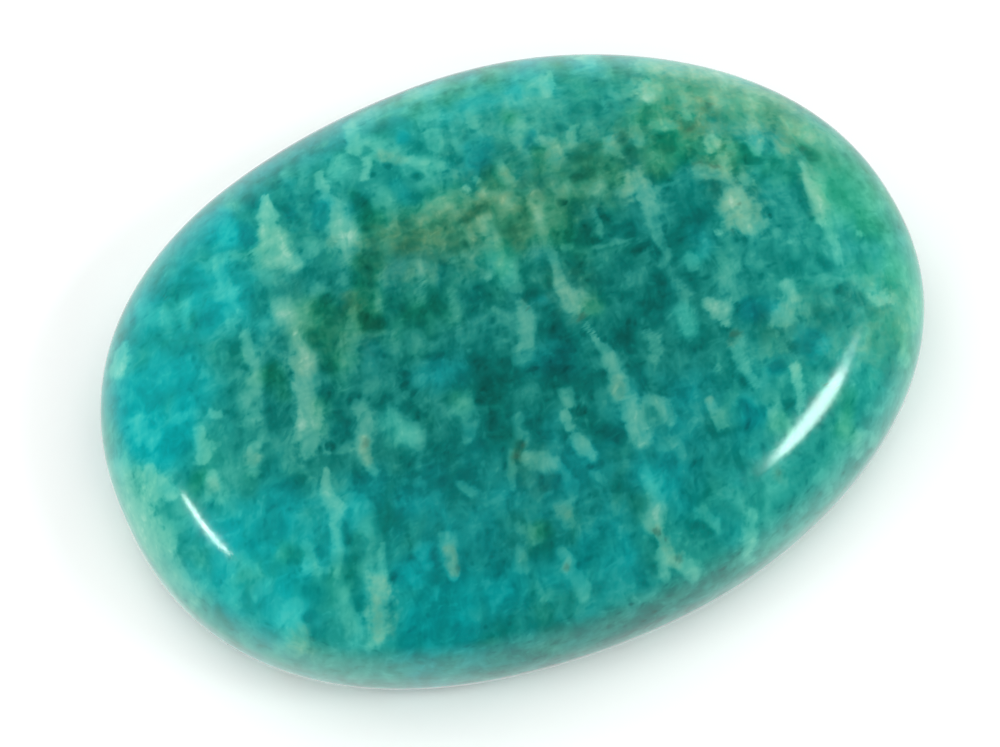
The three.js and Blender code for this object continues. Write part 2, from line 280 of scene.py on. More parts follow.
    (0.3, (-6.4, -11.5, 0.3), (-5.6, -11.9, 0.3)),
    (0.55, (-2.6, -11.5, 0.3), (-2.4, -12.3, 0.35), (-2.3, -13.2, 0.3)),
    (0.3, (-4, -12.2, 0.16), (-4.2, -12.9, 0.16)), (0.25, (0.7, -10.5, 0.5), (1.2, -10.4, 0.3)),
    (0.4, (-0.8, -10.9, 0.4)), (0.65, (4.3, -6.8, 0.3), (4.6, -7.2, 0.35), (4.5, -7.8, 0.3)),
    (0.35, (4.3, -8.8, 0.26), (4.2, -9.3, 0.2)),
    (0.65, (6.5, -7.6, 0.2), (6.6, -8.4, 0.3), (6.6, -9, 0.2)), (0.6, (7.6, -6.3, 0.2)),
    (0.45, (2.4, -9.8, 0.35), (2.3, -10.6, 0.35), (2.1, -11.3, 0.35)),
    (0.6, (2.1, -11.3, 0.35), (1.8, -12, 0.35), (1.9, -12.6, 0.3), (2.1, -13.2, 0.3)),
    (0.5, (1.7, -13, 0.25), (1.5, -13.7, 0.25)), (0.65, (2.5, -13.6, 0.3), (2.9, -14.1, 0.3)),
    (0.45, (4.3, -12.1, 0.26), (4.5, -12.6, 0.3)),
    (0.7, (6.3, -12.8, 0.3), (6, -13.5, 0.35), (5.7, -13.9, 0.3)),
)
DEEP_AND_RIM_SHADE = (  # clear dark patches between the streaks, and painted shade along the far rim
    # broad and faint
    (0.3, (-9, -5.8, 1.3), (-4.5, -5.8, 1.4)), (0.25, (-8.5, -10.5, 1.4)),
    (0.15, (-2.5, -2.4, 1.2), (0.8, -2.8, 1.4)), (0.25, (7.8, -0.8, 0.8), (8.4, -2.4, 0.7)),
    (0.45, (11, 3.6, 0.8), (10.7, 1.6, 0.8)), (0.35, (-3.2, -4.2, 0.9), (3.6, -4.2, 1)),
    (0.6, (7.2, -4.5, 0.8)), (0.25, (-1, 10.4, 0.8)), (0.25, (-13, 6.2, 1)),
    (0.3, (10.4, -4.6, 0.9), (13.6, -5.4, 1.1)), (0.3, (-10.4, -12.2, 1), (-8, -12.4, 1)),
    # the two marks below are painted shade along the far rim, darkening it against the pale reflection
    # there
    (0.35, (-8, 13.8, 0.8), (-3, 14.8, 0.8), (0.6, 15.1, 0.6)), (0.3, (5, 14.6, 0.7), (8, 13.8, 0.6)),
    (0.25, (-14.8, -4.2, 1)), (0.2, (-16.8, 3.8, 0.9)), (0.25, (6.4, 3.8, 0.8)),
    # the far side and the left end
    (0.55, (-13.5, 8.2, 0.45), (-12.6, 7.8, 0.4)), (0.85, (-9.6, 10, 0.3), (-9.6, 9, 0.4)),
    (0.5, (-8.6, 11.7, 0.4), (-8.4, 10.9, 0.4)), (0.35, (-9.9, 11, 0.3), (-9.4, 10.7, 0.3)),
    (0.4, (-7.3, 11.4, 0.3)), (0.6, (-10.2, 6.2, 0.4), (-10.4, 5.3, 0.5)), (0.5, (-9.1, 5.6, 0.35)),
    (0.4, (-12.9, 5.9, 0.4)), (0.5, (-14.4, 6.6, 0.35)), (0.4, (-14.1, 5.1, 0.5)),
    (0.55, (-16.3, 5.4, 0.4), (-16.6, 4.2, 0.45), (-16.4, 3.2, 0.3)),
    (0.6, (-16.8, 1.5, 0.5), (-16.4, 0.6, 0.5)), (0.3, (-16.9, -0.5, 0.3), (-16.6, -1.4, 0.4)),
    (0.35, (-14.9, -0.5, 0.5), (-14.3, -0.6, 0.3)), (0.6, (-13.9, 1, 0.4)), (0.3, (-15, -2.7, 0.5)),
    (0.4, (-11.4, 1.9, 0.45), (-11.3, 1, 0.45)), (0.4, (-11.9, 0.2, 0.4), (-12.2, -0.6, 0.35)),
    (0.55, (-9.7, 0.2, 0.22), (-9.4, -0.1, 0.4)),
    (0.65, (-9.1, 3.3, 0.25), (-8.9, 2.5, 0.3), (-8.9, 1, 0.35)),
    (0.65, (-8.1, 4.1, 0.4), (-7.6, 4.2, 0.3)), (0.5, (-9.6, -1.5, 0.3), (-9.5, -2.4, 0.4)),
    (1, (-10.3, -2.7, 0.25)), (0.25, (-13, -3.5, 0.5), (-12.2, -3.6, 0.3)),
    (0.4, (-9.8, -4.1, 0.4), (-9.3, -5, 0.4)), (0.35, (-15.2, -5.2, 0.5)),
    # the left half
    (0.55, (-7.4, 10.2, 0.4), (-7.3, 9.3, 0.3), (-7.4, 8.6, 0.4), (-7.7, 7.5, 0.3)),
    (0.5, (-5.9, 9, 0.3), (-6.3, 8.3, 0.4)),
    (0.8, (-4.2, 8.8, 0.35), (-4, 7.9, 0.48), (-4.3, 7.1, 0.38)),
    (0.5, (-2.1, 8.9, 0.45), (-1.8, 7.9, 0.4)), (0.9, (-1.1, 8.5, 0.25)), (0.85, (-3.1, 9.6, 0.2)),
    (0.65, (-2.1, 9.8, 0.25)), (0.65, (-0.7, 10.9, 0.3), (-0.5, 10.2, 0.4)),
    (0.5, (-1.8, 12.1, 0.4), (-1.2, 12.5, 0.25)), (0.45, (-8, 5.9, 0.4), (-7.5, 6.1, 0.3)),
    (0.45, (-5.1, 5.4, 0.38), (-5.5, 4.5, 0.38), (-5.8, 3.4, 0.3)),
    (0.65, (-6.5, 2.7, 0.25), (-6.2, 2, 0.42), (-5.8, 1.9, 0.3)), (0.45, (-6.4, 0.6, 0.3)),
    (0.75, (-8.5, -1.1, 0.3)), (0.4, (-7.7, -1.5, 0.35), (-7, -1.6, 0.3)),
    (0.6, (-6.3, -2.4, 0.35), (-6.2, -2.9, 0.3)), (0.8, (-5.9, -1, 0.3), (-6, -1.8, 0.3)),
    (0.45, (-4.5, -0.6, 0.25), (-3.9, -0.6, 0.25)), (0.45, (-4.4, 1.8, 0.4), (-4.2, 1.3, 0.35)),
    (0.4, (-3.1, 1.9, 0.4), (-3, 1.2, 0.3)), (0.45, (-1.9, 1.7, 0.3), (-1.8, 0.9, 0.4)),
    (0.45, (-2.5, -2, 0.5), (-2.4, -3, 0.55), (-1.6, -3.1, 0.3)), (0.5, (-3.2, -3.5, 0.25)),
    (0.35, (-1.3, -2.2, 0.25)), (0.6, (-0.8, -0.7, 0.25)), (0.5, (-1.9, 3.6, 0.22), (-1.1, 3.3, 0.3)),
    (0.35, (-0.9, 2.6, 0.3)), (0.35, (-3.9, 6.3, 0.25)),
    # the middle
    (0.6, (0.8, 9.3, 0.3), (0.9, 8.6, 0.35)), (0.6, (1.9, 9.6, 0.2)),
    (0.55, (2.3, 8.8, 0.5), (1.9, 8, 0.5)), (0.65, (1.9, 7.3, 0.35), (1.5, 7, 0.3)),
    (0.5, (1.9, 6.5, 0.3)), (0.2, (3.5, 8.4, 0.25), (3.4, 7.8, 0.3)),
    (0.8, (4.6, 8.4, 0.25), (4.4, 7.8, 0.3)), (0.4, (5.8, 9.3, 0.3), (6, 8.2, 0.35)),
    (0.5, (7.3, 9, 0.35), (8.2, 8.7, 0.4)), (0.6, (5.9, 6.7, 0.25), (6.4, 6.3, 0.4), (7.3, 6.6, 0.35)),
    (0.7, (5.6, 5.3, 0.3), (6.2, 5.3, 0.4), (6.3, 4.9, 0.3)), (0.7, (0.1, 5.3, 0.25), (0.9, 5.6, 0.3)),
    (0.35, (2.7, 4.9, 0.25), (2.8, 4.2, 0.16)), (0.35, (1.6, 4.1, 0.4)),
    (0.25, (1.3, 1.4, 0.28), (1.2, 0.3, 0.32)), (0.45, (2.3, 1.8, 0.22), (2.2, 0.5, 0.25)),
    (0.65, (1.8, -1, 0.35), (1.5, -1.8, 0.35)), (0.7, (1.3, -2.4, 0.5), (1, -3.6, 0.6)),
    (0.5, (2.5, -2.4, 0.22)), (1, (4.4, 4.2, 0.25)),
    (0.6, (4.8, 2.6, 0.3), (4.3, 1.9, 0.4), (5.2, 1.8, 0.2)),
    (0.6, (6, 3.2, 0.2), (6.1, 1.9, 0.3), (6.9, 1.7, 0.55)), (0.5, (3.9, 0.9, 0.4), (3.6, 0.6, 0.25)),
    (0.6, (6.4, 0.5, 0.2), (7.2, 0.6, 0.3), (7.3, 0, 0.22)), (0.25, (4, -0.1, 0.3), (4.6, -0.4, 0.25)),
    (0.45, (4.2, -2.4, 0.45), (4.3, -3.4, 0.5)), (0.4, (5.6, -2.3, 0.35), (5, -2.9, 0.35)),
    (0.6, (6.8, -1.3, 0.45), (6.4, -2.4, 0.42)),
    # the right half
    (0.65, (8.5, 6.5, 0.28)), (0.4, (8.7, 5.8, 0.26), (8.4, 5.2, 0.4)),
    (0.55, (10.2, 5.8, 0.3), (10.7, 5.7, 0.36), (10.3, 5.1, 0.36)),
    (0.3, (8.7, 10.3, 0.45), (9.1, 9.9, 0.35)), (0.35, (9.1, 8.2, 0.35), (9.2, 7.6, 0.3)),
    (0.3, (10.4, 7.6, 0.4)), (0.5, (13.6, 7.1, 0.25), (13.2, 6.7, 0.3)), (0.4, (11.8, 5.9, 0.32)),
    (0.35, (13.6, 5.8, 0.4)), (0.2, (9.5, 1.6, 0.45), (9.3, 0.5, 0.5)),
    (0.4, (10.2, 1.9, 0.4), (10.2, 1.1, 0.5)), (0.5, (8.4, -1.9, 0.22)),
    (0.75, (9.9, -4, 0.35), (10.7, -4.4, 0.4)), (0.3, (9.4, 4, 0.5)), (0.7, (11.2, 4.5, 0.25)),
    (0.4, (12.8, 4.3, 0.16)), (0.5, (13.8, 4, 0.25), (13.6, 3.2, 0.35), (14.2, 3, 0.3)),
    (0.9, (16.6, 3.1, 0.3), (16.8, 2.6, 0.36)),
    (0.6, (15.4, 1.7, 0.3), (15.3, 0.6, 0.32), (15.3, -0.6, 0.25)), (0.3, (17.7, 1.6, 0.25)),
    (1, (13.3, -0.1, 0.2)), (0.55, (11.5, 2.5, 0.16), (11.4, 1.9, 0.22)),
    (0.65, (11.3, -0.1, 0.16), (11.4, -0.8, 0.3)), (0.35, (12.5, -0.8, 0.2)), (0.3, (13.9, 1.8, 0.4)),
    (0.5, (14.8, -3.3, 0.35), (14.5, -3, 0.25)), (0.8, (15, -4.5, 0.4), (15.5, -5.2, 0.32)),
    (0.35, (13.2, -2.7, 0.5)), (0.35, (17.9, -2.9, 0.25), (17.3, -2.2, 0.22)),
    (0.25, (13.4, -5.4, 0.4), (14.1, -5.8, 0.5)),
    (0.8, (12.5, -6.4, 0.35), (12, -6.8, 0.45), (11.4, -6.5, 0.3)),
    (0.2, (11.9, -5.7, 0.2), (11.1, -5.9, 0.2)), (0.35, (12.4, -7.7, 0.3)),
    (0.4, (15, -8.9, 0.22), (15.8, -8.3, 0.3)), (0.6, (10.8, -11.2, 0.4)), (0.85, (10.3, -7.2, 0.38)),
    (0.55, (10.1, -8.9, 0.3), (9.7, -9, 0.26)),
    (0.6, (7.9, -8.4, 0.35), (8.4, -8.9, 0.35), (8, -9.4, 0.4)),
    (0.5, (8.4, -6.4, 0.26), (8.4, -7.5, 0.26)),
    # the near side
    (0.75, (-11.4, -6.4, 0.25), (-11.5, -7.1, 0.26)), (0.55, (-11.5, -8, 0.48)),
    (0.6, (-12, -8.8, 0.35), (-12, -9.7, 0.35)),
    (0.55, (-14, -8.1, 0.4), (-13.5, -8.9, 0.5), (-13.9, -9.7, 0.5)), (1, (-14.3, -9.1, 0.25)),
    (0.55, (-14.4, -9.9, 0.2)), (0.35, (-15.8, -7.6, 0.35)), (0.35, (-13.9, -6.2, 0.3)),
    (0.4, (-12.7, -6.9, 0.2)), (0.9, (-10.1, -9.4, 0.22)), (0.4, (-9.5, -7, 0.5), (-9.2, -8, 0.4)),
    (0.6, (-9, -9, 0.2)), (0.9, (-8.1, -9.4, 0.22)), (0.35, (-9.2, -11.9, 0.5), (-10.5, -11.6, 0.4)),
    (0.6, (-6.9, -6.1, 0.45), (-6.2, -6.2, 0.4)), (0.5, (-2.8, -5.4, 0.5), (-3, -4.8, 0.4)),
    (0.35, (-1.2, -6.2, 0.35), (-1, -5.5, 0.4)), (0.55, (-2.5, -6.3, 0.2), (-2.9, -6.8, 0.22)),
    (0.5, (-1.5, -8.5, 0.3), (-2.2, -8.3, 0.25)), (0.85, (0.9, -5.9, 0.3)),
    (0.6, (0.1, -8.3, 0.2), (0.6, -8.4, 0.22)), (0.55, (1.5, -7.3, 0.4), (2, -7.8, 0.38)),
    (0.25, (-2.7, -10.7, 0.3), (-3, -11.5, 0.35)), (0.2, (-5.7, -10.9, 0.4)),
    (0.45, (-3.3, -13.1, 0.4)), (0.35, (-0.6, -11.5, 0.28), (-0.2, -11.6, 0.22)),
    (0.15, (4.1, -6.2, 0.3), (4.8, -6.2, 0.3)), (0.25, (4.1, -5, 0.3)), (0.5, (2.4, -4.6, 0.3)),
    (0.3, (6.8, -4.8, 0.25)), (0.5, (3.9, -10.7, 0.35), (3.7, -11.6, 0.3)),
    (0.8, (3.5, -12.6, 0.4), (4, -12.9, 0.3)), (0.35, (3.6, -9.6, 0.35)),
    (0.4, (5.4, -12.4, 0.4), (4.9, -13.2, 0.3)), (0.4, (0.8, -13.2, 0.4)),
)
BLUE = (  # where the stone turns from teal to turquoise
    (0.5, (-12, 11, 2), (-15.5, 7, 2.4), (-17, 2.5, 1.6)), (0.4, (-12, 6.5, 1.6)),
    (0.5, (-16.5, -5, 1.6), (-14.5, -7.5, 1.8), (-12.5, -6, 1.4)), (0.3, (-9, -11, 2)),
    (0.4, (-8, 12.8, 1.6), (-1.5, 13.8, 1.6), (9, 12.4, 1.6)),
    (0.65, (-10.3, 11.4, 0.45), (-10.4, 9.9, 0.5)), (0.55, (-9.7, 10, 0.35), (-9.6, 9, 0.4)),
    (0.5, (-17.7, 4.8, 0.6), (-17.6, 2, 0.8)),
    (0.35, (-16.4, 5.2, 1.2), (-15.8, 2.6, 1.4), (-16.6, 0.8, 0.8)),
    (0.35, (-15, -4.4, 1.2), (-13.4, -3.6, 1)), (0.2, (-14.8, -6.6, 0.8), (-15.1, -8.4, 0.6)),
    (0.2, (-10.3, -5.6, 0.6), (-10.4, -6.6, 0.6)), (0.35, (-9.2, -5, 0.6), (-8.4, -6.6, 0.6)),
    (0.4, (-9.5, -9.6, 0.4), (-8.5, -9.2, 0.4)), (0.35, (-7.3, 9.3, 0.35), (-7.4, 8.4, 0.35)),
    (0.35, (-5.9, 9, 0.4), (-6.3, 8.3, 0.4)), (0.45, (-0.8, 11.1, 0.3)),
    (0.4, (-2.2, 8.6, 0.3), (-2.1, 7.5, 0.3)), (0.4, (-4.9, -1.3, 0.7), (-4, -2.1, 0.7)),
    (0.25, (-0.3, -2.8, 0.6), (1.2, -3.2, 0.9)), (0.5, (1.5, -0.1, 0.2)),
    (0.45, (2.3, 8.9, 0.6), (1.9, 8, 0.5)), (0.5, (4.7, 8.5, 0.3), (4.4, 7.8, 0.3)),
    (0.35, (9.5, -0.4, 0.7)), (0.55, (10.9, -4.4, 0.5), (10.2, -4.2, 0.4)),
    (0.6, (12.4, -6.5, 0.6), (11.7, -6.9, 0.5)), (0.5, (10.3, -7.2, 0.4)),
    (0.45, (7.9, -8.4, 0.5), (8.3, -9, 0.4)), (0.35, (-7, -8, 2.2), (0, -9, 2.4), (6, -8.6, 2)),
    (0.4, (-9.5, -12, 1), (-6.5, -12.5, 1.2), (-3.6, -12.7, 1.2), (0, -12, 1.2)),
    (0.2, (2.8, -9.8, 0.8), (3.4, -11.4, 0.7), (4.9, -13.3, 0.5)),
)
GREEN = (  # where it leans to green
    (0.3, (-8, 2.2, 1.5), (-3, 2.6, 1.6), (5, 2.6, 1.6)),
    (0.6, (17.6, 3, 1.2), (17.5, 0, 1.4), (17.4, -1.2, 0.9)),
    (0.55, (11.2, 5, 0.8), (12.4, 4.2, 0.7), (14, 2.6, 1)), (0.3, (19.3, -0.5, 1), (19, -4, 1)),
    (0.35, (17.6, -4.4, 1.3), (16.8, -7, 1.2)), (0.55, (13, 7.6, 1.4), (16.4, 6, 1.3)),
    (0.25, (6, 12.2, 1.2), (11, 10.8, 1.4)), (0.4, (0, 13.4, 0.8), (4, 12.8, 0.9)),
    (0.45, (10.9, 7.4, 0.6), (9.8, 7.6, 0.5)), (0.4, (9.6, 4.4, 0.7)), (0.4, (7.6, 4.6, 0.5)),
    (0.4, (4.3, 9.9, 0.4)), (0.5, (4.6, 7.3, 0.3), (4.4, 6.5, 0.35)),
    (0.6, (-5.3, 4.8, 0.6), (-6.3, 2.4, 0.6)),
    (0.5, (-3.6, 6.2, 1.1), (1.2, 5.4, 1.4), (7, 5.8, 1.2), (11.6, 6.2, 1.1)),
    (0.5, (1.8, 4.2, 0.9), (3.4, 3.4, 0.8)), (0.35, (0.4, 2.8, 0.6)),
    (0.45, (-8.4, 3.8, 0.8), (-8.2, 1.4, 0.7)), (0.5, (-11.5, 1.9, 0.5), (-11.2, 0.9, 0.5)),
    (0.45, (-9.9, -0.6, 0.4), (-10, -1.4, 0.5)), (0.4, (-4.2, 8.8, 0.4), (-4.1, 7.4, 0.4)),
    (0.35, (-4, -3, 0.5)), (0.5, (3.5, -1.2, 0.5)), (0.4, (-3.2, -10.2, 0.4)),
    (0.35, (-13.9, -6.3, 0.5)), (0.35, (-17.1, -6.4, 0.5)), (0.4, (-16.6, -1.2, 0.4)),
    (0.4, (9.3, -9.6, 0.5)), (0.5, (12.5, -9.3, 0.6), (12.3, -10.4, 0.5)),
)
STAIN = (  # olive and rusty iron stain along healed cracks
    # broad and faint
    (0.38, (-4, 5.2, 1.4), (2, 4.8, 1.8), (8.5, 5.4, 1.6)), (0.2, (3, 8.8, 2.2), (9.6, 8.6, 2.2)),
    (0.6, (12.8, 8.2, 1.8), (16, 5.6, 1.6)), (0.45, (12.2, 3.3, 0.9), (12.2, 0.6, 0.9)),
    (0.3, (16, 1.6, 0.4), (15.7, -0.4, 0.4)), (0.25, (-7.2, 2.4, 1.2)), (0.3, (12.4, 5.2, 1.1)),
    (0.25, (3, 0, 1.1)), (0.3, (11.5, -6, 1.3), (15.5, -5.6, 1.3)),
    (0.15, (-8.6, 8.4, 0.8), (-9.2, 4.4, 0.7), (-9.8, 1.6, 0.7)), (0.3, (17, 3, 1.2)),
    (0.35, (15.4, -7.6, 1.1), (17.4, -5.6, 0.9)), (0.2, (-2.2, -7.6, 1)),
    # along the cracks
    (0.4, (-4.6, 6.2, 0.4), (-3, 5.9, 0.6), (-1.4, 5.8, 0.6), (0.6, 5.6, 0.5), (1.6, 5.4, 0.4)),
    (1, (-3.2, 5.4, 0.4), (-2.4, 5.1, 0.6), (-1.5, 5.1, 0.4)),
    (0.5, (-1.2, 4.6, 0.4), (-0.1, 4.5, 0.4)), (0.7, (0.1, 5.3, 0.3), (0.9, 5.6, 0.3)),
    (0.55, (1.5, 6.1, 0.3), (2, 5.5, 0.35), (2.1, 5, 0.25)), (0.5, (2.7, 4.8, 0.3), (3.4, 5, 0.3)),
    (0.5, (2.2, 3.9, 0.4), (1.8, 3.2, 0.35)), (0.55, (-6.6, 3.9, 0.3), (-6.6, 3.3, 0.35)),
    (0.25, (-6.1, 7, 0.3)), (0.4, (-2, 10.5, 0.3), (-1.5, 9.8, 0.3)), (0.3, (5.2, 7, 0.35)),
    (0.4, (2.8, 6.9, 0.25)), (0.45, (8.5, 6.6, 0.3)), (0.45, (9.5, 6.6, 0.26)),
    (1, (12.2, 5.7, 0.35), (11.7, 5.9, 0.45)), (0.45, (11.5, 7.3, 0.25), (11.5, 6.5, 0.25)),
    (1, (13.5, 7.1, 0.5), (13.2, 6.7, 0.45)), (0.35, (11.5, 3.7, 0.3), (12.2, 3.3, 0.3)),
    (0.25, (12, 0.9, 0.5)), (0.45, (16.1, 4.2, 0.35), (15.7, 3.4, 0.3)),
    (0.4, (9, -5, 0.28), (8.8, -5.3, 0.2)), (0.3, (8.3, -11.6, 0.3)), (0.2, (2.6, -1.6, 0.3)),
    (0.35, (0.8, 0.2, 0.2)), (0.3, (3, -5.2, 0.3), (2.7, -5.8, 0.25)), (0.3, (6.5, -7.6, 0.22)),
    (0.25, (-9.8, 1.6, 0.35)), (0.5, (-10.9, -9.6, 0.5), (-11.4, -10.8, 0.5)),
    (0.4, (-14.9, -9.8, 0.5)), (0.3, (-13.7, -1.5, 0.35)), (0.3, (-15.9, -1.8, 0.3)),
    (0.4, (-8.8, -3.1, 0.2), (-9, -4, 0.2)), (0.4, (-2.5, -6.3, 0.2), (-2.9, -6.8, 0.25)),
    (0.3, (-1.8, -9.8, 0.26)), (0.45, (-7.3, -9.5, 0.25), (-7.4, -10.1, 0.25)),
    (0.2, (-2.6, -12.1, 0.25)), (0.3, (1.8, -12.1, 0.25), (2, -12.5, 0.25), (2.3, -13.4, 0.25)),
)
PITS = (  # brown specks and pinholes
    (0.6, (11.2, 3.8, 0.08)), (0.8, (11.6, 3.8, 0.1)), (0.8, (11.9, 3.65, 0.09)),
    (1, (12.1, 3.3, 0.13)), (0.7, (12.1, 1.1, 0.1)), (0.7, (11.3, -0.1, 0.1)),
    (1, (2.9, -1.6, 0.15), (2.7, -1.7, 0.12)), (0.8, (0.75, 0, 0.1), (0.7, -0.2, 0.1)),
    (0.8, (8.9, -4.95, 0.15), (9.1, -5.05, 0.1)), (0.9, (-2.5, -6.35, 0.11)),
    (0.9, (-2.8, -6.75, 0.14)), (0.7, (-8.8, -3.2, 0.14)), (0.9, (-7.3, -10.1, 0.12)),
    (0.8, (-2.6, -12.2, 0.14)), (0.9, (1.7, -12.1, 0.1), (1.9, -12.2, 0.12)), (0.8, (2.1, -12.5, 0.1)),
    (0.8, (2.4, -13.3, 0.1), (2.5, -13.4, 0.12)), (0.9, (12.1, -8.5, 0.13)), (0.9, (12.5, -8.8, 0.13)),
    (0.7, (-14.3, 8.7, 0.1), (-14.1, 8.3, 0.1)), (0.7, (13.5, 7, 0.14), (13.3, 6.8, 0.14)),
    (0.7, (11.8, 5.8, 0.13)), (0.5, (16.6, 3.1, 0.14)), (0.6, (8.4, -11.6, 0.12)),
)
MARKINGS = dict(milk_and_painted_light=MILK_AND_PAINTED_LIGHT, pale_and_highlight=PALE_AND_HIGHLIGHT, deep_and_rim_shade=DEEP_AND_RIM_SHADE, blue=BLUE, green=GREEN, stain=STAIN, pits=PITS)
MARKINGS_ZERO = (-0.19, -0.08)  # mm, where the markings' own zero lies in the plan
DIP = (0.30, -0.12)  # mm that the layers step sideways for each mm further down in the stone
FRAYS = ((0.2, 1.4), (0.14, 0.55))  # mm that the markings are pushed about, and over what length
FRAY_SEED = 7  # without one, Blender starts its vector noise from the clock
SOFTNESS = 0.3  # how early a marking fades within its width
TINY = 1e-9  # keeps the length of a one-point mark from being 0


def hand_cut_oval(angle):
    """Points of a squarish oval with slow waves at the angles, before it is fitted to its size."""
    share = np.abs(np.cos(angle) / (LENGTH / 2)) ** OUTLINE_FULLNESS
    share += np.abs(np.sin(angle) / (WIDTH / 2)) ** OUTLINE_FULLNESS
    radius = share ** (-1 / OUTLINE_FULLNESS)
    for crests, height, turn in OUTLINE_WAVES:
        radius = radius * (1 + height * np.cos(crests * (angle - math.radians(turn))))
    return np.stack([radius * np.cos(angle), radius * np.sin(angle)], -1)


def girdle_outline(angle):
    """Points of the girdle at the angles: the oval, centred and stretched to its exact size."""
    edge = hand_cut_oval(np.linspace(0, 2 * math.pi, 4 * CELLS, endpoint=False))
    middle = (edge.max(0) + edge.min(0)) / 2
    stretch = np.array([LENGTH, WIDTH]) / (edge.max(0) - edge.min(0))
    return (hand_cut_oval(angle) - middle) * stretch


def dome_profile():
    """From the apex out to the girdle: share of the outline, height, inset."""
    angle = np.linspace(math.pi / 2, 0, DOME_STEPS)
    share = np.maximum(np.cos(angle), 0) ** (2 / DOME_FULLNESS)
    height = GIRDLE_HEIGHT + (THICKNESS - GIRDLE_HEIGHT) * np.sin(angle)
    return np.stack([share, height, np.zeros_like(angle)], -1)


def back_profile():
    """From the middle of the flat back out to its edge, then up round to the girdle."""
    angle = np.linspace(0, math.pi / 2, EDGE_STEPS)
    outward = np.sin(angle) ** (2 / EDGE_FULLNESS)
    downward = np.maximum(np.cos(angle), 0) ** (2 / EDGE_FULLNESS)
    edge = np.stack([np.ones_like(angle), GIRDLE_HEIGHT * (1 - downward), BACK_INSET * (1 - outward)], -1)
    return np.concatenate([[[0, 0, BACK_INSET]], edge])


def spread(profile, shares):
    """Reads a profile at shares of its own length, so that the net's cells come out even.

    The profile's first column is a share of the outline, which counts as a share of half the width.
    """
    gaps = np.linalg.norm(np.diff(profile * (WIDTH / 2, 1, 1), axis=0), axis=1)
    along = np.concatenate([[0], np.cumsum(gaps)])
    return np.stack([np.interp(shares * along[-1], along, column) for column in profile.T], -1)


def rounded_net(profile):
    """A square net rounded into an oval and bent to a profile, as points in a square array."""
    line = np.linspace(-1, 1, CELLS + 1)
    across, along = np.meshgrid(line, line, indexing="ij")
    wide = np.abs(across) > np.abs(along)
    reach = np.where(wide, across, along)
    safe = np.where(reach == 0, 1, reach)
    turn = np.where(wide, along / safe, 2 - across / safe) * math.pi / 4
    turn = np.where(reach < 0, turn + math.pi, turn)
    share, height, inset = np.moveaxis(spread(profile, np.abs(reach)), -1, 0)
    outline = girdle_outline(turn)
    distance = np.linalg.norm(outline, axis=-1)
    plan = outline * ((distance - inset) / distance * share)[..., None]
    return np.concatenate([plan, height[..., None]], -1)


def quads(index):
    """The square faces of a net, by the numbers of their corner points."""
    return np.stack([index[:-1, :-1], index[1:, :-1], index[1:, 1:], index[:-1, 1:]], -1).reshape(-1, 4)


def closed_net():
    """The stone's points and faces, from a net for the dome and one for the back, joined at the girdle."""
    dome = rounded_net(dome_profile())
    back = rounded_net(back_profile())[1:-1, 1:-1]
    dome_index = np.arange(dome[..., 0].size).reshape(dome.shape[:2])
    back_index = dome_index.copy()
    back_index[1:-1, 1:-1] = dome_index.size + np.arange(back[..., 0].size).reshape(back.shape[:2])
    points = np.concatenate([dome.reshape(-1, 3), back.reshape(-1, 3)])
    faces = np.concatenate([quads(dome_index), quads(back_index)[:, ::-1]])
    return points, faces


def hand_polished(points):
    """The points, drawn in by the waver of the polish, which fades out towards the flat back."""
    swell = np.array([noise.noise(Vector(p) / POLISH_WAVE) for p in points])
    above_back = np.clip(points[:, 2] / GIRDLE_HEIGHT, 0, 1)
    drawn_in = POLISH_WAVER * (0.5 + 0.5 * swell) * above_back
    distance = np.linalg.norm(points - (0, 0, GIRDLE_HEIGHT), axis=1)
    return points * (1 - drawn_in / distance)[:, None]


def dome_height(plan):
    """The height of the dome over places in the plan, and the girdle's beyond it."""
    angle = np.arctan2(plan[:, 1], plan[:, 0])
    share = np.linalg.norm(plan, axis=1) / np.linalg.norm(girdle_outline(angle), axis=-1)
    rise = np.sqrt(np.clip(1 - share ** DOME_FULLNESS, 0, 1))
    return GIRDLE_HEIGHT + (THICKNESS - GIRDLE_HEIGHT) * rise


def marking_field(places, marks):
    """How strongly a kind of marking shows at each place, and how far inside it the place lies.

    The first falls softly from the mark's strength to 0. The second is 1 on a mark's middle line,
    a half at its half width and 0 at twice that, so that the shader can cut a sharp, ragged edge.
    """
    clear = np.ones(len(places))
    inside = np.zeros(len(places))
    for strength, *path in marks:
        path = np.array(path)
        nearest = np.full(len(places), np.inf)
        starts, ends = (path[:-1], path[1:]) if len(path) > 1 else (path, path)
        for start, end in zip(starts, ends):
            run = end[:2] - start[:2]
            along = np.clip((places - start[:2]) @ run / max(run @ run, TINY), 0, 1)
            gap = np.linalg.norm(places - start[:2] - along[:, None] * run, axis=1)
            nearest = np.minimum(nearest, gap / (start[2] + along * (end[2] - start[2])))
        clear *= 1 - strength * np.exp(-SOFTNESS * nearest ** 3)
        inside = np.maximum(inside, 1 - nearest / 2)
    return 1 - clear, inside


def markings_at(points):
    """The values of every kind of marking at the points, by name. The markings slant down the stone."""
    depth = dome_height(points[:, :2]) - points[:, 2]
    places = points[:, :2] + depth[:, None] * DIP - MARKINGS_ZERO
    noise.seed_set(FRAY_SEED)
    for push, length in FRAYS:
        places += push * np.array([noise.noise_vector(Vector(p) / length)[:2] for p in points])
    fields = {}
    for name, marks in MARKINGS.items():
        fields[name], fields[name + "_inside"] = marking_field(places, marks)
    return fields


def placed(name, data):
    """A new object in the scene."""
    body = bpy.data.objects.new(name, data)
    bpy.context.collection.objects.link(body)
    return body


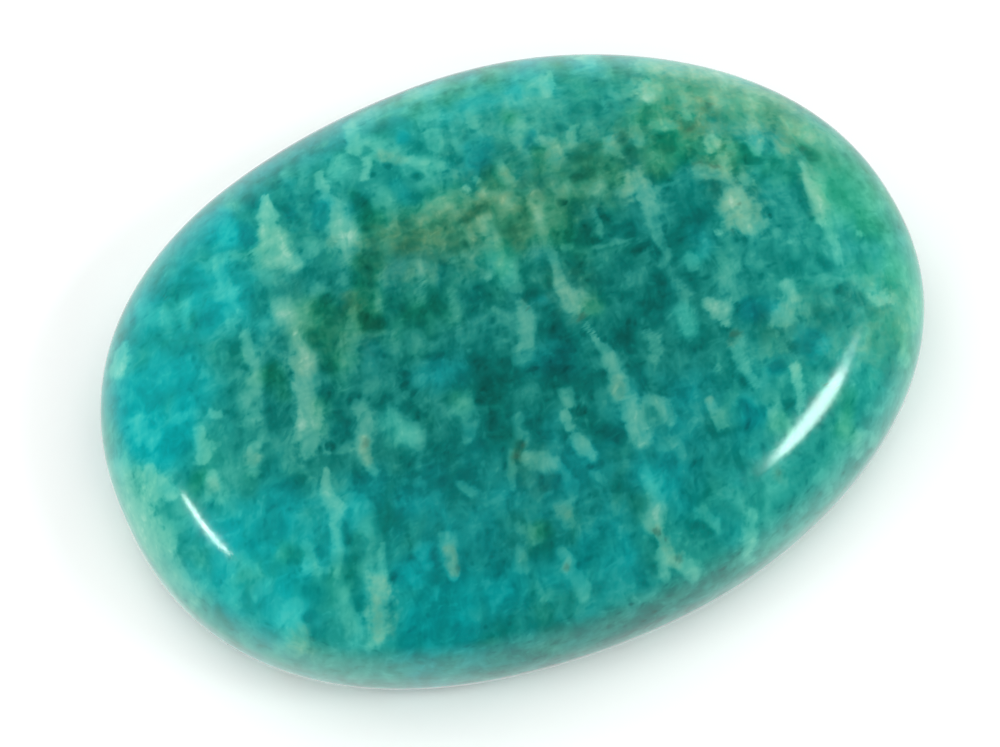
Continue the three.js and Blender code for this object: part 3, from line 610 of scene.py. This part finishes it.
def stone():
    """The whole stone as one closed mesh, which carries its markings as values at its points."""
    points, faces = closed_net()
    mesh = bpy.data.meshes.new("amazonite_stone")
    mesh.from_pydata((hand_polished(points) * MM).tolist(), [], faces.tolist())
    mesh.shade_smooth()
    for name, values in markings_at(points).items():
        mesh.attributes.new(name, "FLOAT", "POINT").data.foreach_set("value", values.astype(np.float32))
    return placed("amazonite_stone", mesh)


def colour(code):
    """A colour as a shader needs it, from a web code such as 1f9a94."""
    parts = [int(code[i:i + 2], 16) / 255 for i in (0, 2, 4)]
    linear = [p / 12.92 if p <= 0.04045 else ((p + 0.055) / 1.055) ** 2.4 for p in parts]
    return (*linear, 1)


class Shader:
    """Adds nodes to a material or a world. An input is a number, a colour or another node's output."""

    def __init__(self, owner):
        owner.use_nodes = True
        self.nodes = owner.node_tree.nodes
        self.links = owner.node_tree.links
        self.nodes.clear()

    def add(self, kind, inputs=(), output=0, **settings):
        node = self.nodes.new("ShaderNode" + kind)
        for name, value in settings.items():
            setattr(node, name, value)
        for name, value in dict(inputs).items():
            if isinstance(value, bpy.types.NodeSocket):
                self.links.new(value, node.inputs[name])
            else:
                node.inputs[name].default_value = value
        return node.outputs[output] if node.outputs else None

    def math(self, operation, *values, clamp=False):
        return self.add("Math", enumerate(values), operation=operation, use_clamp=clamp)

    def weigh(self, *terms):
        """The sum of the terms, each given as a weight and a value."""
        total = 0.0
        for weight, value in terms:
            total = self.math("MULTIPLY_ADD", value, weight, total)
        return total

    def attribute(self, name):
        return self.add("Attribute", output="Fac", attribute_name=name, attribute_type="GEOMETRY")

    def noise(self, places, per_mm, detail=3, roughness=0.55):
        """Fractal noise from about -0.5 to 0.5, with per_mm grains in a millimetre along each axis."""
        scaled = self.add("VectorMath", {0: places, 1: per_mm}, operation="MULTIPLY")
        grain = {"Vector": scaled, "Scale": 1, "Detail": detail, "Roughness": roughness}
        return self.math("SUBTRACT", self.add("TexNoise", grain), 0.5)

    def step(self, value, start, end):
        """0 at the start and 1 at the end, with a smooth change between. Either may be the lower."""
        limits = {"Value": value, "From Min": start, "From Max": end}
        return self.add("MapRange", limits, interpolation_type="SMOOTHSTEP")

    def ridge(self, value, sharpness=8):
        """1 where a noise crosses 0, falling off to both sides: thin winding lines."""
        fall = self.math("MULTIPLY", self.math("ABSOLUTE", value), -sharpness)
        return self.math("ADD", fall, 1, clamp=True)

    def mix(self, share, first, second):
        return self.add("Mix", {0: share, 6: first, 7: second}, output=2, data_type="RGBA")

    def ramp(self, value, tints):
        """The tints at the stone's tones, blended between them."""
        node = self.nodes.new("ShaderNodeValToRGB")
        self.links.new(value, node.inputs[0])
        elements = node.color_ramp.elements
        while len(elements) < len(TONES):
            elements.new(1)
        for element, place, tint in zip(elements, TONES, tints):
            element.position = place
            element.color = colour(tint)
        return node.outputs[0]


def crystal_places(shader, place):
    """Where the crystals' patterns are read: slanted with the lamellae, then crumpled."""
    x, y, z = (shader.add("SeparateXYZ", {0: place}, output=axis) for axis in "XYZ")
    across = shader.math("MULTIPLY_ADD", y, shader.add("MapRange", {"Value": x, **LEAN}), x)
    below = shader.math("MINIMUM", shader.math("SUBTRACT", z, EDGE_TOP), 0)
    level = shader.math("MULTIPLY_ADD", below, EDGE_FINENESS, z)
    woven = shader.add("CombineXYZ", {"X": across, "Y": y, "Z": level})
    crumples = {"Vector": woven, "Scale": CRUMPLES_PER_MM, "Detail": 1}
    crumple = shader.add("TexNoise", crumples, output="Color")
    centred = {0: crumple, 1: (CRUMPLE,) * 3, 2: (-CRUMPLE / 2,) * 3}
    push = shader.add("VectorMath", centred, operation="MULTIPLY_ADD")
    return shader.add("VectorMath", {0: woven, 1: push}, operation="ADD")


def amazonite():
    """Polished microcline: mottled teal with woven lamellae, milky albite, iron stain and pinholes."""
    material = bpy.data.materials.new("amazonite")
    shader = Shader(material)
    metres = shader.add("TexCoord", output="Object")
    place = shader.add("VectorMath", {0: metres, "Scale": 1 / MM}, operation="SCALE")
    height = shader.add("SeparateXYZ", {0: place}, output="Z")
    crystal = crystal_places(shader, place)

    grain = shader.noise(place, (2.6, 2.6, 2.6), detail=2)
    drift = shader.noise(place, (0.28, 0.28, 0.28), detail=2)
    blotch = shader.noise(crystal, (0.85, 0.7, 0.6), roughness=0.5)
    lamella = shader.noise(crystal, (1.7, 0.5, 0.4), detail=2, roughness=0.5)
    weft = shader.noise(crystal, (0.6, 1.6, 0.6), detail=2, roughness=0.5)
    ragged = shader.weigh((1, blotch), (0.6, lamella), (0.4, weft))
    cloudy = shader.math("SUBTRACT", shader.step(ragged, -0.28, 0.32), 0.5)

    # Pale threads wind along and across the lamellae here and there, and small pale and dark flecks
    # lie between them.
    along = shader.ridge(shader.noise(crystal, (1.3, 0.45, 0.4), detail=2))
    across = shader.ridge(shader.noise(crystal, (0.5, 1.3, 0.4), detail=2))
    shown = shader.step(shader.noise(place, (0.8, 0.8, 0.8), detail=1), -0.12, 0.1)
    threads = shader.math("MULTIPLY", shader.math("MAXIMUM", along, across), shown)
    fleck = shader.noise(crystal, (2.0, 2.0, 2.0), detail=1)
    pale_flecks = shader.step(fleck, 0.1, 0.24)
    dark_flecks = shader.step(fleck, -0.05, -0.3)

    def broken(name):
        """A kind of marking, with its edge cut where the grain of the stone lets it through."""
        reach = shader.weigh((1, shader.attribute(name + "_inside")), (0.8, ragged), (0.7, grain))
        body = shader.math("MULTIPLY_ADD", ragged, 0.4, 1)
        body = shader.math("MULTIPLY", body, shader.step(reach, 0.08, 0.62))
        return shader.math("MULTIPLY", shader.attribute(name), body, clamp=True)

    # A power above 1 keeps the heart of a strong marking and thins what is faint.
    milk_and_painted_light = shader.attribute("milk_and_painted_light")
    pale_and_highlight = shader.math("POWER", broken("pale_and_highlight"), 1.25)
    deep_and_rim_shade = shader.math("POWER", broken("deep_and_rim_shade"), 1.3)

    # How far each pattern lightens or darkens the stone. The milky zones, partly painted rim light, veil
    # them all and lift the tone.
    mottle = shader.weigh(
        (0.12, grain),
        (0.26, ragged),
        (0.14, cloudy),
        (shader.math("MULTIPLY_ADD", pale_and_highlight, -0.07, 0.09), threads),
        (0.08, pale_flecks),
        (-0.12, dark_flecks),
        (0.22, drift),
        (0.5, pale_and_highlight),
        (-0.34, deep_and_rim_shade),
    )
    veil = shader.math("MULTIPLY_ADD", milk_and_painted_light, -0.3, 1)
    middle_tone = shader.math("MULTIPLY_ADD", milk_and_painted_light, 0.1, 0.36)
    tone = shader.math("MULTIPLY_ADD", mottle, veil, middle_tone)

    hue = shader.noise(crystal, (0.5, 0.4, 0.4), detail=2)
    bluer = shader.step(shader.math("ADD", shader.attribute("blue"), hue), 0, 0.8)
    greener = shader.step(shader.math("SUBTRACT", shader.attribute("green"), hue), 0, 0.8)
    ground = shader.ramp(tone, TEAL)
    ground = shader.mix(bluer, ground, shader.ramp(tone, TURQUOISE))
    ground = shader.mix(greener, ground, shader.ramp(tone, SEA_GREEN))
    # The milky zones also lighten the colour, partly as painted light on the rim.
    lightness = shader.math("MULTIPLY_ADD", milk_and_painted_light, 0.6, 1)
    ground = shader.add("HueSaturation", {"Color": ground, "Value": lightness})

    # Iron stain shows most in the pale grains. A pale sheen is painted over the edge, most where it is
    # milky: a painted reflection of the white room and of light through the edge.
    pale_grains = shader.step(shader.math("ADD", grain, fleck), -0.2, 0.25)
    rusty = shader.math("MULTIPLY", broken("stain"), shader.math("MULTIPLY_ADD", pale_grains, 0.3, 0.4))
    ground = shader.mix(rusty, ground, shader.ramp(tone, OLIVE))
    painted_sheen = shader.math("MULTIPLY_ADD", milk_and_painted_light, 0.38, 0.03)
    painted_sheen = shader.math("MULTIPLY", painted_sheen, shader.step(height, EDGE_TOP, PAINTED_SHEEN_FULL))
    ground = shader.mix(painted_sheen, ground, colour(PAINTED_EDGE_SHEEN))
    ground = shader.mix(shader.math("MULTIPLY", broken("pits"), 0.6), ground, colour(SPECK))

    # The polish is a little uneven over the grain. Light goes about a millimetre into the stone.
    waver = shader.weigh((0.6, grain), (0.4, weft))
    gloss = {"Value": waver, "From Min": -0.3, "From Max": 0.3, "To Min": 0.07, "To Max": 0.16}
    surface = {
        "Base Color": ground,
        "Roughness": shader.add("MapRange", gloss),
        "IOR": 1.53,
        "Normal": shader.add("Bump", {"Strength": 0.12, "Distance": 0.02 * MM, "Height": waver}),
        "Subsurface Weight": 0.15,
        "Subsurface Radius": (0.5, 1.0, 0.9),
        "Subsurface Scale": MM,
    }
    shader.add("OutputMaterial", {"Surface": shader.add("BsdfPrincipled", surface)})
    return material


def towards(azimuth, elevation):
    """A direction out from the stone. Azimuth 0 is the picture's right and 90 its far side."""
    turned = math.radians(azimuth - CAMERA_TURN)
    level = math.cos(math.radians(elevation))
    return Vector((math.cos(turned) * level, math.sin(turned) * level, math.sin(math.radians(elevation))))


def camera():
    """A long lens that stands where the photograph's did."""
    data = bpy.data.cameras.new("camera")
    data.lens = LENS
    data.clip_start = 0.01
    eye = placed("camera", data)
    back = towards(-90, CAMERA_ELEVATION)
    right = towards(0, 0)
    aim = right * CAMERA_AIM[0] + back.cross(right) * CAMERA_AIM[1]
    eye.location = aim + back * CAMERA_DISTANCE
    eye.rotation_euler = (-back).to_track_quat("-Z", "Y").to_euler()
    bpy.context.scene.camera = eye


def lamp(name, azimuth, elevation, distance, size, radiance, roll=0, tint=(1, 1, 1), mirrored=True):
    """A soft oval lamp that faces the stone, with the same radiance all over.

    Its size is its width and height in metres, and roll turns it on its own axis, in degrees. A lamp
    that isn't mirrored lights the stone and the table without showing in the polish.
    """
    data = bpy.data.lights.new(name, "AREA")
    data.shape = "ELLIPSE"
    data.size, data.size_y = size
    data.energy = radiance * math.pi * (math.pi / 4 * data.size * data.size_y)
    data.color = tint
    body = placed(name, data)
    back = towards(azimuth, elevation)
    body.location = back * distance
    facing = (-back).to_track_quat("-Z", "Y")
    body.rotation_euler = (facing @ Quaternion((0, 0, 1), math.radians(roll))).to_euler()
    body.visible_camera = False
    body.visible_glossy = mirrored


def studio():
    """Two lamps and a glow that the dome mirrors, and broad soft light from above and from all sides."""
    lamp("right_lamp", -5.4, 40.8, 0.6, (0.21, 0.08), 16, roll=-14, tint=MIRRORED_TINT)
    lamp("right_lamp_glow", -1.2, 40.3, 0.6, (0.32, 0.06), 4.5, roll=-14, tint=MIRRORED_TINT)
    lamp("left_lamp", 191.2, 41, 0.6, (0.19, 0.018), 42, roll=20, tint=MIRRORED_TINT)
    lamp("overhead_lamp", 110, 78, 0.7, (1.02, 1.02), 1.1, mirrored=False)
    for panel in range(4):
        lamp(f"side_panel_{panel}", 45 + 90 * panel, 25, 0.8, (0.9, 0.56), 2.5, mirrored=False)


def room():
    """White below the table's level, grey at the horizon and dark above, as the stone mirrors it."""
    world = bpy.data.worlds.new("room")
    bpy.context.scene.world = world
    shader = Shader(world)
    up = shader.add("SeparateXYZ", {0: shader.add("TexCoord", output="Generated")}, output="Z")
    fade = {"Value": up, "From Min": -0.25, "From Max": 0.25, "To Min": 0.95, "To Max": 0.06}
    light = shader.add("Background", {"Color": (1, 1, 1, 1), "Strength": shader.add("MapRange", fade)})
    shader.add("OutputWorld", {"Surface": light})


def table():
    """A round white table that ends where the lamps' light does. The stone mirrors the room instead."""
    mesh = bpy.data.meshes.new("table")
    turns = np.linspace(0, 2 * math.pi, TABLE_SIDES, endpoint=False)
    rim = np.stack([np.cos(turns), np.sin(turns), np.zeros(TABLE_SIDES)], -1) * TABLE_RADIUS
    mesh.from_pydata(rim.tolist(), [], [list(range(TABLE_SIDES))])
    top = placed("table", mesh)
    paper = bpy.data.materials.new("white_paper")
    shader = Shader(paper)
    plain = {"Base Color": (0.93, 0.925, 0.92, 1), "Roughness": 0.9}
    shader.add("OutputMaterial", {"Surface": shader.add("BsdfPrincipled", plain)})
    mesh.materials.append(paper)
    top.visible_glossy = False


camera()
room()
table()
studio()

cabochon = stone()
cabochon.data.materials.append(amazonite())
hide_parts("cabochon")
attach(cabochon, "root")

bpy.context.scene.view_settings.view_transform = "Standard"
